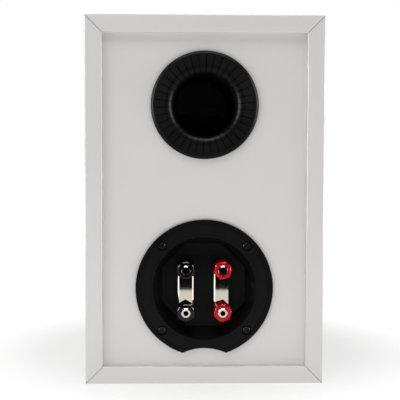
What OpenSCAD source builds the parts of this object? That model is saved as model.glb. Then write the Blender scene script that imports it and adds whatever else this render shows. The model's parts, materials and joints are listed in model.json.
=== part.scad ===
// Two-way bass-reflex bookshelf speaker with bi-wire binding posts.
// +Z is up, the front faces -Y, the back faces +Y, and the origin is the middle of the base.

/* [Cabinet] */
// Overall width of the cabinet
cabinet_w = 180; // [176:1:240]
// Overall height of the cabinet
cabinet_h = 278; // [272:1:360]
// Overall depth of the cabinet
cabinet_d = 245; // [215:1:330]
// Thickness of the four outer walls
wall_t = 13; // [10:0.5:15]
// Rounding of the walls' long edges
edge_r = 0.8; // [0.4:0.1:2]
// Depth of the back panel's outer face behind the walls' rear edges
back_recess = 6; // [4:0.5:10]
// Thickness of the back panel
back_t = 12; // [9:0.5:16]
// Thickness of the front baffle
baffle_t = 15; // [12:0.5:22]
// Thickness of the damping wadding on the side walls
wadding_t = 9; // [5:1:11]

/* [Reflex port] */
// Distance from the cabinet's top down to the port's axis
port_drop = 66.8; // [58:0.2:80]
// Bore of the port tube
port_bore = 47.5; // [40:0.5:50]
// Outer diameter of the port flange
flange_dia = 81.5; // [76:0.5:90]
// How far the flange stands out of the back panel
flange_proud = 4; // [3:0.5:5]
// Wall thickness of the port tube
tube_t = 2.5; // [2:0.1:4]
// Length of the straight port tube
tube_len = 88; // [60:1:110]
// Number of fine grooves around the flange
groove_count = 38; // [12:1:48]
// Width of one groove
groove_w = 0.7; // [0.4:0.1:1.2]

/* [Terminal plate] */
// Height of the plate's centre above the cabinet's base
plate_z = 72.4; // [68:0.2:90]
// Diameter of the plate
plate_dia = 104.5; // [98:0.5:110]
// Thickness of the plate's rim
plate_t = 3; // [2.5:0.1:4]
// Diameter of the dish at the plate's face
dish_dia = 79; // [76:0.5:84]
// Width of the dish's octagonal floor across flats
floor_af = 65; // [62:0.5:68]
// Depth of the dish below the plate's face
dish_depth = 20; // [16:0.5:24]
// Wall thickness of the dish
dish_t = 2; // [1.6:0.1:3]
// Radius of the notch at the plate's foot
notch_r = 39.2; // [30:0.2:45]
// How far the notch cuts into the plate
notch_depth = 6.3; // [3:0.1:7]
// Side of the square on which the plate's screws lie
plate_screw_square = 64.5; // [62:0.5:68]

/* [Binding posts] */
// Sideways spacing of the posts
post_dx = 28; // [24:0.5:30]
// Upright spacing of the posts
post_dz = 32.4; // [28:0.2:36]
// Drop of the posts' middle below the plate's centre
post_drop = 2.4; // [0:0.2:4]
// Diameter of the banana plug's socket
socket_dia = 4; // [3.9:0.05:4.2]
// Outer diameter of the stud
stud_dia = 6; // [5.6:0.1:6.4]
// Diameter of the stud's end ring
ring_dia = 7.3; // [7:0.1:7.8]
// Width of the hexagonal cap across flats
cap_af = 12.6; // [12:0.1:13.4]
// Length of the cap
cap_len = 17.6; // [14:0.1:20]
// Width of a link plate
link_w = 12; // [11:0.1:13.4]
// Thickness of a link plate
link_t = 1.4; // [1:0.1:1.8]

/* [Drivers] */
// Height of the woofer's axis above the cabinet's base
woofer_z = 88; // [86:0.5:100]
// Outer diameter of the woofer's frame
woofer_dia = 140; // [138:0.5:142]
// Distance from the cabinet's top down to the tweeter's axis
tweeter_drop = 67; // [62:0.5:72]
// Outer diameter of the tweeter's faceplate
tweeter_dia = 94; // [90:0.5:96]
// Diameter of the tweeter's dome
dome_dia = 25; // [24:0.5:26]

/* [Hidden] */
$fn = 96;
cut = 0.5;               // overshoot of a cutting shape
gap = 0.3;               // free space between fixed pieces that do not seat on each other
running = 0.05;          // radial clearance of a cap or a washer on its stud
seat = 0.1;              // radial clearance of a screw or a bush in its hole
mitre_gap = 0.12;        // glue line of a mitred corner

inner_w = cabinet_w - 2 * wall_t;
inner_h = cabinet_h - 2 * wall_t;
back_face = cabinet_d / 2 - back_recess;
baffle_face = -cabinet_d / 2;
inner_back = back_face - back_t;
inner_front = baffle_face + baffle_t;

port_z = cabinet_h - port_drop;
port_r = port_bore / 2;
tube_r = port_r + tube_t;
flange_r = flange_dia / 2;
flange_edge_r = 3;       // rounding of the flange's outer edge
flange_flare_r = 6;      // rounding of the flange's mouth
collar_t = 2.5;          // wall of the flange's collar around the tube
collar_len = 14;         // reach of the collar behind the back panel's face
tube_start = 8;          // depth of the tube's rear end behind the back panel's face
groove_depth = 0.7;
groove_reach = 38;       // radius at which the grooves run out
flare_r = port_r + 8;

plate_r = plate_dia / 2;
dish_r = dish_dia / 2;
floor_z = plate_t - dish_depth;
under_z = floor_z - dish_t;
plate_screw_r = 1.75;
plate_head_r = 3.25;
plate_head_t = 1.4;
plate_sink = 1.7;        // depth of the counterbore under the plate's face
gasket_t = 0.8;
rib_h = 0.5;             // raised lip around the plate and the dish
rib_w = 1.2;

stud_r = stud_dia / 2;
ring_r = ring_dia / 2;
socket_r = socket_dia / 2;
socket_depth = 14.5;
post_collar_t = 2;
post_collar_r = 6.1;
washer_t = 1;
washer_r = 6.1;
washer_gap = 0.1;        // play between the washer and the cap
link_z = floor_z + post_collar_t;
washer_z = link_z + link_t;
cap_z = washer_z + washer_t + washer_gap;
cap_front = cap_z + cap_len;
ring_len = 4;
ring_front = cap_front + 0.8;
cap_travel = 4;
cap_face_r = 4.9;
cap_round = 2.6;         // length of the cap's rounded shoulder
cap_sleeve_r = ring_r + 0.15;
wire_hole_r = 1.5;
wire_hole_z = washer_z + cap_travel / 2;
post_nut_t = 3;
post_nut_af = 9;
tag_t = 0.8;
tag_len = 9;
tag_w = 6;
stud_tail = under_z - post_nut_t - tag_t - 3;
low_post_y = -post_drop - post_dz / 2;
high_post_y = -post_drop + post_dz / 2;
mark_root = 0.6;         // how deep the raised marks are rooted in the dish's floor
mark_x = post_dx / 2 + 10;
// angle of each cap's first corner, as left by the hand that tightened it
cap_angles = [30, 32, 16, 14];

woofer_r = woofer_dia / 2;
woofer_sink = 3;         // depth of the frame's seat in the baffle
frame_proud = 1;         // how far each driver's frame stands out of the baffle
woofer_screws = 6;
woofer_screw_circle = woofer_r - 5;
woofer_hole_r = woofer_r - 9;
basket_r = woofer_hole_r - 1;
basket_t = 3;            // wall of the basket under its ring
cone_r = woofer_r - 25;
cone_rim_z = -1;
cone_depth = 25;
neck_r = 13.6;           // radius of the cone's neck
cone_t = 0.7;
surround_out = woofer_r - 10.7;
surround_in = cone_r - 1.5;
surround_z = -0.6;       // seat of the surround behind the baffle's face
roll_r = 5;
surround_t = 0.8;
dust_r = 17;
dust_rise = 6;
coil_in = 12.9;
coil_out = 13.8;
coil_reach = 3;          // how far the winding reaches past the top plate on both sides
former_t = 0.4;
pole_r = 12.4;
vent_r = 5;              // vent through the pole
plate_gap_r = 14.3;
motor_z = -46;           // face of the woofer's top plate, behind the baffle's face
motor_plate_t = 5;
motor_r = 36;
magnet_r = 39;
magnet_in = 18;
magnet_t = 15;
yoke_t = 5;
basket_foot_t = 1.5;     // thickness of the basket on the top plate
spider_z = -33;
spider_out = 42.5;
spider_flat_r = 36.5;    // radius at which the spider's waves end
spider_t = 0.5;
spider_wave_h = 1.1;
ledge_r = 37.5;          // inner radius of the basket's ledge for the spider
strip_w = 18;
strip_h = 14;
strip_t = 1.6;
leg_top_z = -8.5;        // where the basket's legs leave its ring
leg_foot_r = 46;         // radius and height at which the legs turn in to the magnet
leg_foot_z = -34.5;
strip_seat_z = -23.4;    // height at which the strip lies on a leg
leg_slope = (basket_r - leg_foot_r) / (leg_top_z - leg_foot_z);
strip_seat_r = leg_foot_r + leg_slope * (strip_seat_z - leg_foot_z);
strip_tilt = atan(leg_slope);
tab_x = 5.5;
tab_w = 3.2;
tab_t = 0.8;
tab_len = 8;
tab_drop = 4;            // drop of the tabs below the strip's middle

tweeter_z = cabinet_h - tweeter_drop;
tweeter_r = tweeter_dia / 2;
tweeter_sink = 3;
tweeter_hole_r = 36;
tweeter_mouth_r = 31;    // radius of the shallow horn around the dome
tweeter_body_r = 33;
dome_r = dome_dia / 2;
dome_rise = 4.6;
dome_t = 0.5;
dome_z = -3.2;           // seat of the dome behind the baffle's face
dome_seat = dome_r + 3.6;
tweeter_roll_r = 1.2;
tweeter_roll_t = 0.4;
tweeter_coil_t = 0.3;
tweeter_gap = 0.6;       // free space beside the tweeter's coil
tweeter_motor_z = -8;
tweeter_motor_r = 30;
tweeter_plate_t = 4;
tweeter_magnet_t = 10;
tweeter_yoke_t = 4;
tweeter_back = tweeter_motor_z - tweeter_plate_t - tweeter_magnet_t - tweeter_yoke_t;
tweeter_screws = 4;
tweeter_screw_circle = tweeter_r - 5;
tweeter_strip_w = 36;
tweeter_tab_x = 12;
driver_screw_r = 1.7;
driver_screw_len = 11;
driver_head_r = 3.9;
driver_head_t = 1.9;
tweeter_screw_r = 1.5;
tweeter_head_r = 3.5;
tweeter_head_t = 1.7;
pilot_left = 3;          // wood left in front of a blind pilot hole's end

board_w = 100;
board_d = 78;
board_t = 1.6;
spacer_h = 6;
board_y = 30;            // middle of the crossover board
board_z = wall_t + spacer_h;
board_top = board_z + board_t;
board_hole_x = board_w / 2 - 6;
board_hole_y = board_d / 2 - 6;
board_screw_r = 1.5;
board_head_r = 3;
// [x, y, outer radius, bore, height] of each coil, from the board's middle
coils = [[-26, 14, 17, 8, 15], [24, -16, 14, 6, 12]];
// [x, y, radius, length] of each capacitor
capacitors = [[-44, -16, 8, 34], [6, 8, 6, 28], [6, 23, 6, 28]];
resistor = [12, 8, 8];
resistor_lift = 0.5;     // air under a resistor
resistor_rows = [-28, -8];
wire_r = 1.1;
wire_gap = 0.15;         // solder between a wire and what it ends on

// ---- placing -------------------------------------------------------------------------------

// Local axes on the back: x to the viewer's right, y up, z out of the back panel's face.
module on_back(x, z) {
    translate([0, back_face, z]) rotate([90, 0, 180]) translate([x, 0, 0]) children();
}

// Local axes on the front: x to the viewer's right, y up, z out of the baffle's face.
module on_front(z) {
    translate([0, baffle_face, z]) rotate([90, 0, 0]) children();
}

module at_post(x, y) {
    on_back(x, plate_z) translate([0, y, 0]) children();
}

module ring_of(count, radius, first = 0) {
    for (i = [0 : count - 1]) {
        rotate([0, 0, first + i * 360 / count]) translate([radius, 0, 0]) children();
    }
}

// ---- shared shapes -------------------------------------------------------------------------

function arc(cx, cy, r, from, to, steps) =
    [for (i = [0 : steps]) let (a = from + (to - from) * i / steps) [cx + r * cos(a), cy + r * sin(a)]];

module tube(r_out, r_in, z_low, z_high) {
    translate([0, 0, z_low]) difference() {
        cylinder(h = z_high - z_low, r = r_out);
        translate([0, 0, -cut]) cylinder(h = z_high - z_low + 2 * cut, r = r_in);
    }
}

module bore(r, z_low, z_high) {
    translate([0, 0, z_low]) cylinder(h = z_high - z_low, r = r);
}

// A shallow spherical shell over a circle: base radius, rise and thickness.
module dome_shell(base_r, rise, thick) {
    outer = (base_r * base_r + rise * rise) / (2 * rise);
    half = asin(base_r / outer);
    inner = outer - thick;
    inner_half = acos((outer - rise) / inner);
    rotate_extrude() polygon(concat(
        arc(0, rise - outer, outer, 90 - half, 90, 12),
        arc(0, rise - outer, inner, 90, 90 - inner_half, 12)
    ));
}

// A cross-head screw that seats at z = 0 and points along -z.
module cross_screw(head_r, head_t, shank_r, shank_len) {
    recess = head_r * 1.1;
    slot = head_r * 0.28;
    difference() {
        union() {
            cylinder(h = head_t * 0.55, r = head_r);
            translate([0, 0, head_t * 0.55]) cylinder(h = head_t * 0.45, r1 = head_r, r2 = head_r * 0.72);
            translate([0, 0, -shank_len]) cylinder(h = shank_len, r = shank_r);
        }
        translate([0, 0, head_t * 0.4]) for (a = [0, 90]) {
            rotate([0, 0, a]) translate([-recess / 2, -slot / 2, 0]) cube([recess, slot, head_t]);
        }
    }
}

// ---- cabinet -------------------------------------------------------------------------------

// One wall: its rounded section is swept along x and its ends are cut at 45 degrees.
module mitred_wall(length) {
    half_d = cabinet_d / 2;
    half_len = (length - mitre_gap * sqrt(2)) / 2;
    e = edge_r;
    section = concat(
        arc(-half_d + e, e, e, 180, 270, 5), arc(half_d - e, e, e, 270, 360, 5),
        arc(half_d - e, wall_t - e, e, 0, 90, 5), arc(-half_d + e, wall_t - e, e, 90, 180, 5)
    );
    intersection() {
        translate([-length / 2, 0, 0]) rotate([90, 0, 90]) linear_extrude(length) polygon(section);
        translate([0, half_d + cut, 0]) rotate([90, 0, 0]) linear_extrude(cabinet_d + 2 * cut) polygon([
            [-half_len, 0], [half_len, 0],
            [half_len - wall_t, wall_t], [-half_len + wall_t, wall_t]
        ]);
    }
}

module bottom_panel() { color("gainsboro") mitred_wall(cabinet_w); }

module top_panel() {
    color("gainsboro") translate([0, 0, cabinet_h]) rotate([0, 180, 0]) mitred_wall(cabinet_w);
}

module side_panel(side) {
    translate([side * cabinet_w / 2, 0, cabinet_h / 2]) rotate([0, -side * 90, 0]) mitred_wall(cabinet_h);
}

module left_panel() { color("gainsboro") side_panel(-1); }

module right_panel() { color("gainsboro") side_panel(1); }

module front_baffle() {
    color("gainsboro") difference() {
        translate([-inner_w / 2, baffle_face, wall_t]) cube([inner_w, baffle_t, inner_h]);
        on_front(woofer_z) {
            bore(woofer_hole_r, -baffle_t - cut, cut);
            bore(woofer_r + gap, -woofer_sink, cut);
            ring_of(woofer_screws, woofer_screw_circle, 30)
                bore(driver_screw_r + seat, -baffle_t + pilot_left, cut);
        }
        on_front(tweeter_z) {
            bore(tweeter_hole_r, -baffle_t - cut, cut);
            bore(tweeter_r + gap, -tweeter_sink, cut);
            ring_of(tweeter_screws, tweeter_screw_circle, 45)
                bore(tweeter_screw_r + seat, -baffle_t + pilot_left, cut);
        }
    }
}

module back_panel() {
    color("gainsboro") difference() {
        translate([-inner_w / 2, inner_back, wall_t]) cube([inner_w, back_t, inner_h]);
        on_back(0, port_z) bore(tube_r + collar_t + seat, -back_t - cut, cut);
        on_back(0, plate_z) {
            bore(dish_r + dish_t + gap, -back_t - cut, cut);
            at_plate_screws() bore(plate_screw_r + seat, -back_t + 1, cut);
        }
    }
}

module damping_wadding() {
    depth = inner_back - inner_front - 2 * gap;
    height = inner_h - 2 * gap;
    color("lightgrey") for (side = [-1, 1]) {
        translate([side * (inner_w / 2 - wadding_t / 2) - wadding_t / 2, inner_front + gap, wall_t + gap])
            cube([wadding_t, depth, height]);
    }
}

// ---- reflex port ---------------------------------------------------------------------------

// The flange's face slopes from its rounded rim down to a rounded mouth.
module flange_body() {
    rim_y = flange_proud - flange_edge_r;
    mouth_x = port_r + flange_flare_r;
    mouth_y = -flange_flare_r + 1.6;
    rotate_extrude() polygon(concat(
        [[tube_r + collar_t, -collar_len], [tube_r + collar_t, 0], [flange_r, 0]],
        arc(flange_r - flange_edge_r, rim_y, flange_edge_r, 0, 84, 8),
        arc(mouth_x, mouth_y, flange_flare_r, 84, 180, 14),
        [[port_r, -tube_start], [tube_r + seat, -tube_start], [tube_r + seat, -collar_len]]
    ));
}

module port_flange() {
    groove_len = groove_reach - port_r;
    color("black") on_back(0, port_z) difference() {
        flange_body();
        for (i = [0 : groove_count - 1]) {
            rotate([0, 0, 3 + i * 360 / groove_count]) translate([port_r - 1, -groove_w / 2, 0])
                rotate([-90, 0, 0]) linear_extrude(groove_w) groove_outline(groove_len + 1);
        }
    }
}

// Side view of one groove's cutter, a little below the flange's face, running out at its far end.
module groove_outline(length) {
    mouth = flange_flare_r + 1;
    floor_y = -(1.6 - groove_depth);
    polygon(concat(
        [[0, -flange_proud - 2], [length, -flange_proud], [length, -flange_proud + 0.55]],
        arc(mouth, floor_y + flange_flare_r, flange_flare_r, 276, 180, 12),
        [[0, floor_y + flange_flare_r]]
    ));
}

module port_tube() {
    color("dimgrey") on_back(0, port_z) tube(tube_r, port_r, -tube_start - tube_len, -tube_start);
}

module port_inner_flare() {
    end = -tube_start - tube_len;
    lip = 2.5;
    bell = flare_r - port_r;
    color("dimgrey") on_back(0, port_z) rotate_extrude() polygon(concat(
        [[tube_r + seat, end + 10], [tube_r + seat, end], [port_r, end]],
        arc(port_r + bell, end, bell, 180, 255, 10),
        [[flare_r + lip, end - bell], [flare_r + lip, end - bell + lip], [tube_r + lip + 1, end + 10]]
    ));
}

// ---- terminal plate ------------------------------------------------------------------------

module at_plate_screws() {
    half = plate_screw_square / 2;
    for (x = [-half, half], y = [-half, half]) translate([x, y, 0]) children();
}

module at_all_posts() {
    for (x = [-post_dx / 2, post_dx / 2], y = [low_post_y, high_post_y]) translate([x, y, 0]) children();
}

// An upright octagonal slab with flats facing up, down and sideways.
module octagon_slab(across_flats, z, thick) {
    translate([0, 0, z]) rotate([0, 0, 22.5]) cylinder(h = thick, r = across_flats / 2 / cos(22.5), $fn = 8);
}

// The circle at the face is drawn down to the octagon of the floor.
module dish_solid(top_r, top_z, af, bottom_z) {
    hull() {
        translate([0, 0, top_z]) cylinder(h = 0.01, r = top_r, $fn = 72);
        octagon_slab(af, bottom_z, 0.01);
    }
}

module plate_outline(grow = 0) {
    difference() {
        circle(r = plate_r + grow);
        translate([0, -plate_r + notch_depth - notch_r]) circle(r = notch_r - grow);
    }
}

module terminal_plate() {
    e = 0.8;
    color("black") on_back(0, plate_z) difference() {
        union() {
            translate([0, 0, gasket_t]) linear_extrude(plate_t - e - gasket_t) plate_outline();
            translate([0, 0, plate_t - e]) linear_extrude(e) plate_outline(-e);
            difference() {
                tube(plate_r - 2.2, plate_r - 2.2 - rib_w, plate_t - e, plate_t + rib_h);
                translate([0, -plate_r + notch_depth - notch_r, 0]) bore(notch_r + 2.2, 0, plate_t + 1);
            }
            tube(dish_r + rib_w, dish_r - 0.4, plate_t - e, plate_t + rib_h * 0.6);
            dish_solid(dish_r + dish_t, gasket_t + 0.5, floor_af + 2 * dish_t, under_z);
            floor_rules();
            polarity_marks();
        }
        difference() {
            dish_solid(dish_r, plate_t + 1, floor_af, floor_z);
            floor_rules();
            polarity_marks();
        }
        at_plate_screws() {
            bore(plate_screw_r + 0.25, -cut, plate_t + 2);
            bore(plate_head_r + 0.5, plate_t - plate_sink, plate_t + 2);
        }
        at_all_posts() bore(stud_r + seat, under_z - cut, floor_z + 1);
    }
}

// Two thin raised lines on the dish's floor, above and below the posts.
module floor_rules() {
    translate([0, high_post_y + 8, floor_z - mark_root]) rule(18, mark_root + 0.25);
    translate([0, low_post_y - 11, floor_z - mark_root]) rule(20, mark_root + 0.25);
}

// A thin straight bar.
module rule(length, height) {
    translate([-length / 2, -0.3, 0]) cube([length, 0.6, height]);
}

// A raised plus beside the red posts and a raised minus beside the black ones.
module polarity_marks() {
    translate([mark_x, high_post_y, floor_z - mark_root]) {
        rule(4, mark_root + 0.3);
        rotate([0, 0, 90]) rule(4, mark_root + 0.3);
    }
    translate([-mark_x, low_post_y, floor_z - mark_root]) rule(4, mark_root + 0.3);
}

module terminal_gasket() {
    color("darkslategrey") on_back(0, plate_z) difference() {
        linear_extrude(gasket_t) plate_outline(-gap);
        bore(dish_r + dish_t + gap, -cut, gasket_t + cut);
        at_plate_screws() bore(plate_screw_r + seat, -cut, gasket_t + cut);
    }
}

module terminal_screws() {
    color("black") on_back(0, plate_z) at_plate_screws() translate([0, 0, plate_t - plate_sink])
        cross_screw(plate_head_r, plate_head_t, plate_screw_r, 11);
}

// ---- binding posts -------------------------------------------------------------------------

module stud() {
    color("gold") difference() {
        union() {
            bore(stud_r, stud_tail, ring_front - ring_len);
            bore(ring_r, ring_front - ring_len, ring_front - 0.4);
            translate([0, 0, ring_front - 0.4]) cylinder(h = 0.4, r1 = ring_r, r2 = ring_r - 0.4);
        }
        bore(socket_r, ring_front - socket_depth, ring_front + cut);
        translate([0, 0, wire_hole_z]) rotate([90, 0, 0]) translate([0, 0, -stud_r - 1])
            cylinder(h = 2 * stud_r + 2, r = wire_hole_r);
    }
}

// A hexagonal cap with a rounded shoulder, bored for the stud and its end ring.
module cap(angle) {
    corner = cap_af / 2 / cos(30);
    sleeve_z = ring_front - ring_len - cap_travel - 0.1;
    difference() {
        intersection() {
            rotate([0, 0, angle]) translate([0, 0, cap_z]) cylinder(h = cap_len, r = corner, $fn = 6);
            rotate_extrude() polygon(concat(
                [[0, cap_z], [corner - 0.6, cap_z], [corner, cap_z + 0.6]],
                [for (i = [0 : 8]) let (a = 90 * i / 8)
                    [cap_face_r + (corner - cap_face_r) * cos(a), cap_front - cap_round * (1 - sin(a))]],
                [[0, cap_front]]
            ));
        }
        bore(stud_r + running, cap_z - cut, sleeve_z + cut);
        bore(cap_sleeve_r, sleeve_z, cap_front + cut);
    }
}

module washer() {
    tube(washer_r, stud_r + running, washer_z, washer_z + washer_t);
}

module post_collar() {
    difference() {
        union() {
            bore(post_collar_r, floor_z, link_z - 0.5);
            translate([0, 0, link_z - 0.5]) cylinder(h = 0.5, r1 = post_collar_r, r2 = post_collar_r - 0.5);
        }
        bore(stud_r + seat, floor_z - cut, link_z + cut);
    }
}

module stud_black_low() { at_post(-post_dx / 2, low_post_y) stud(); }
module stud_black_high() { at_post(-post_dx / 2, high_post_y) stud(); }
module stud_red_low() { at_post(post_dx / 2, low_post_y) stud(); }
module stud_red_high() { at_post(post_dx / 2, high_post_y) stud(); }

module cap_black_low() { color("black") at_post(-post_dx / 2, low_post_y) cap(cap_angles[0]); }
module cap_black_high() { color("black") at_post(-post_dx / 2, high_post_y) cap(cap_angles[1]); }
module cap_red_low() { color("crimson") at_post(post_dx / 2, low_post_y) cap(cap_angles[2]); }
module cap_red_high() { color("crimson") at_post(post_dx / 2, high_post_y) cap(cap_angles[3]); }

module washer_black_low() { color("silver") at_post(-post_dx / 2, low_post_y) washer(); }
module washer_black_high() { color("silver") at_post(-post_dx / 2, high_post_y) washer(); }
module washer_red_low() { color("silver") at_post(post_dx / 2, low_post_y) washer(); }
module washer_red_high() { color("silver") at_post(post_dx / 2, high_post_y) washer(); }

module post_pair(x) {
    for (y = [low_post_y, high_post_y]) at_post(x, y) children();
}

module post_collars_black() { color("black") post_pair(-post_dx / 2) post_collar(); }
module post_collars_red() { color("crimson") post_pair(post_dx / 2) post_collar(); }

module post_nuts() {
    color("silver") on_back(0, plate_z) at_all_posts() difference() {
        translate([0, 0, under_z - post_nut_t])
            cylinder(h = post_nut_t, r = post_nut_af / 2 / cos(30), $fn = 6);
        bore(stud_r + seat, under_z - post_nut_t - cut, under_z + cut);
    }
}

module solder_tags() {
    tag_z = under_z - post_nut_t - tag_t;
    color("gold") on_back(0, plate_z) at_all_posts() difference() {
        union() {
            bore(tag_w / 2 + 1.5, tag_z, tag_z + tag_t);
            translate([-tag_w / 4, -tag_len, tag_z]) cube([tag_w / 2, tag_len, tag_t]);
        }
        bore(stud_r + seat, tag_z - cut, tag_z + tag_t + cut);
    }
}

// A flat bar with round ends and long bevels, with a hole for each stud.
module link(x) {
    half = link_w / 2;
    bevel = 0.9;
    step = link_t - 0.4;
    section = [
        [-half, 0], [half, 0], [half, step],
        [half - bevel, link_t], [-half + bevel, link_t], [-half, step]
    ];
    color("silver") at_post(x, 0) difference() {
        union() {
            translate([0, high_post_y, link_z]) rotate([90, 0, 0]) linear_extrude(post_dz) polygon(section);
            for (y = [low_post_y, high_post_y]) translate([0, y, link_z]) {
                cylinder(h = step, r = half);
                translate([0, 0, step]) cylinder(h = link_t - step, r1 = half, r2 = half - bevel);
            }
        }
        for (y = [low_post_y, high_post_y])
            translate([0, y, 0]) bore(stud_r + seat, link_z - cut, link_z + link_t + cut);
    }
}

module link_black() { link(-post_dx / 2); }
module link_red() { link(post_dx / 2); }

// ---- woofer --------------------------------------------------------------------------------

module woofer_basket() {
    foot_z = motor_z + basket_foot_t;
    ledge_z = spider_z - spider_t - 0.1;
    color("dimgrey") on_front(woofer_z) difference() {
        rotate_extrude() polygon([
            [surround_out + 0.2, surround_z], [surround_out + 0.2, frame_proud - 0.4],
            [surround_out + 0.6, frame_proud], [woofer_r - 1, frame_proud], [woofer_r, frame_proud - 1],
            [woofer_r, -woofer_sink], [basket_r, -woofer_sink], [basket_r, leg_top_z], [leg_foot_r, leg_foot_z],
            [40, motor_z], [28, motor_z], [28, foot_z], [motor_r, foot_z], [ledge_r, ledge_z],
            [spider_out + 0.5, ledge_z], [basket_r - basket_t, -7.5], [basket_r - basket_t, surround_z]
        ]);
        for (i = [0 : 3]) rotate([0, 0, 45 + 90 * i]) {
            translate([0, -14, -29]) cube([woofer_r, 28, 18]);
            translate([0, -11, motor_z + 2.5]) cube([woofer_r, 22, 6.5]);
        }
        ring_of(woofer_screws, woofer_screw_circle, 30)
            sunk_screw_hole(driver_screw_r, driver_head_r, driver_head_t);
    }
}

// A clear hole through a driver's frame with a conical seat for a flush head.
module sunk_screw_hole(shank_r, head_r, head_t) {
    bore(shank_r + 0.5, -woofer_sink - cut, frame_proud + cut);
    translate([0, 0, frame_proud - head_t - 0.1])
        cylinder(h = head_t + 0.2, r1 = shank_r + 0.5, r2 = head_r + 0.2);
}

// A flush screw with a hexagon socket, just below the frame's face.
module sunk_screw(shank_r, head_r, head_t, socket) {
    difference() {
        union() {
            translate([0, 0, frame_proud - head_t - 0.1])
                cylinder(h = head_t, r1 = shank_r + 0.4, r2 = head_r);
            bore(shank_r, -driver_screw_len, frame_proud - head_t);
        }
        translate([0, 0, frame_proud - head_t + 0.3]) rotate([0, 0, 15])
            cylinder(h = head_t + cut, r = socket, $fn = 6);
    }
}

module woofer_gasket() {
    seat_z = surround_z + surround_t + 0.02;
    color("black") on_front(woofer_z) tube(surround_out, surround_out - 2.8, seat_z, frame_proud);
}

module woofer_top_plate() {
    color("silver") on_front(woofer_z) tube(motor_r, plate_gap_r, motor_z - motor_plate_t, motor_z);
}

module woofer_magnet() {
    color("darkslategrey") on_front(woofer_z)
        tube(magnet_r, magnet_in, motor_z - motor_plate_t - magnet_t, motor_z - motor_plate_t);
}

module woofer_yoke() {
    low = motor_z - motor_plate_t - magnet_t;
    color("silver") on_front(woofer_z) difference() {
        union() {
            bore(magnet_r - 1, low - yoke_t, low);
            bore(pole_r, low, motor_z + 0.5);
        }
        bore(vent_r, low - yoke_t - cut, motor_z + 1);
    }
}

// Corrugated disc: concentric waves between the voice coil and the basket's ledge.
module woofer_spider() {
    waves = 5;
    steps = 40;
    inner = coil_in + former_t + 0.2;
    function wave(i) = spider_wave_h * sin(360 * waves * i / steps);
    function reach(i) = inner + (spider_flat_r - inner) * i / steps;
    color("goldenrod") on_front(woofer_z) translate([0, 0, spider_z]) rotate_extrude() polygon(concat(
        [for (i = [0 : steps]) [reach(i), wave(i)]],
        [[spider_out, 0], [spider_out, -spider_t]],
        [for (i = [steps : -1 : 0]) [reach(i), wave(i) - spider_t]]
    ));
}

module woofer_voice_coil() {
    low = motor_z - motor_plate_t - coil_reach;
    color("orange") on_front(woofer_z) {
        tube(coil_in + former_t, coil_in, low, -cone_depth - 0.6);
        tube(coil_out, coil_in + former_t, low, motor_z + coil_reach);
    }
}

module woofer_cone() {
    throat = coil_in + former_t + 0.1;
    color("dimgrey") on_front(woofer_z) rotate_extrude() polygon([
        [cone_r, cone_rim_z], [cone_r, cone_rim_z - cone_t], [throat, -cone_depth - 2.2],
        [throat, -cone_depth - 0.4], [neck_r + 0.6, -cone_depth - 0.4]
    ]);
}

module woofer_dust_cap() {
    slope = (cone_depth + 0.4 + cone_rim_z) / (cone_r - neck_r - 0.6);
    seat_z = cone_rim_z - (cone_r - dust_r) * slope;
    color("black") on_front(woofer_z) translate([0, 0, seat_z + 0.1]) dome_shell(dust_r, dust_rise, 0.6);
}

// A half-roll ring: its outer and inner feet, the roll's radius, seat and thickness.
module half_roll(out_r, in_r, mid_r, radius, seat_z, thick, steps) {
    rotate_extrude() polygon(concat(
        [[out_r, seat_z], [out_r, seat_z + thick]],
        arc(mid_r, seat_z + thick, radius, 0, 180, steps),
        [[in_r, seat_z + thick], [in_r, seat_z]],
        arc(mid_r, seat_z, radius - thick, 180, 0, steps)
    ));
}

module woofer_surround() {
    mid = (surround_out + surround_in) / 2 - 0.6;
    color("black") on_front(woofer_z)
        half_roll(surround_out, surround_in, mid, roll_r, surround_z, surround_t, 18);
}

module woofer_screws() {
    color("black") on_front(woofer_z) ring_of(woofer_screws, woofer_screw_circle, 30)
        sunk_screw(driver_screw_r, driver_head_r, driver_head_t, 1.5);
}

// A small board with two push-on tabs, flat against the basket's lower leg.
module woofer_terminal_strip() {
    color("peru") on_front(woofer_z) translate([0, -strip_seat_r, strip_seat_z]) rotate([strip_tilt, 0, 0]) {
        translate([-strip_w / 2, -strip_t - 0.1, -strip_h / 2]) cube([strip_w, strip_t, strip_h]);
        for (x = [-tab_x, tab_x]) translate([x - tab_w / 2, -strip_t - tab_len, -tab_drop])
            cube([tab_w, tab_len, tab_t]);
    }
}

// ---- tweeter -------------------------------------------------------------------------------

module tweeter_faceplate() {
    horn_r = 16;
    color("black") on_front(tweeter_z) difference() {
        rotate_extrude() polygon(concat(
            [[dome_seat, tweeter_motor_z], [tweeter_body_r, tweeter_motor_z]],
            [[tweeter_body_r, -tweeter_sink], [tweeter_r, -tweeter_sink]],
            [[tweeter_r, frame_proud - 0.8], [tweeter_r - 0.8, frame_proud], [tweeter_mouth_r, frame_proud]],
            arc(tweeter_mouth_r, frame_proud - horn_r, horn_r, 90, 128, 8),
            [[dome_seat, -3]]
        ));
        ring_of(tweeter_screws, tweeter_screw_circle, 45)
            sunk_screw_hole(tweeter_screw_r, tweeter_head_r, tweeter_head_t);
    }
}

module tweeter_dome() {
    color("silver") on_front(tweeter_z) translate([0, 0, dome_z]) dome_shell(dome_r, dome_rise, dome_t);
}

module tweeter_surround() {
    mid = (dome_r + dome_seat) / 2;
    color("black") on_front(tweeter_z)
        half_roll(dome_seat - 0.1, dome_r - 0.6, mid, tweeter_roll_r, dome_z - 0.6, tweeter_roll_t, 10);
}

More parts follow.
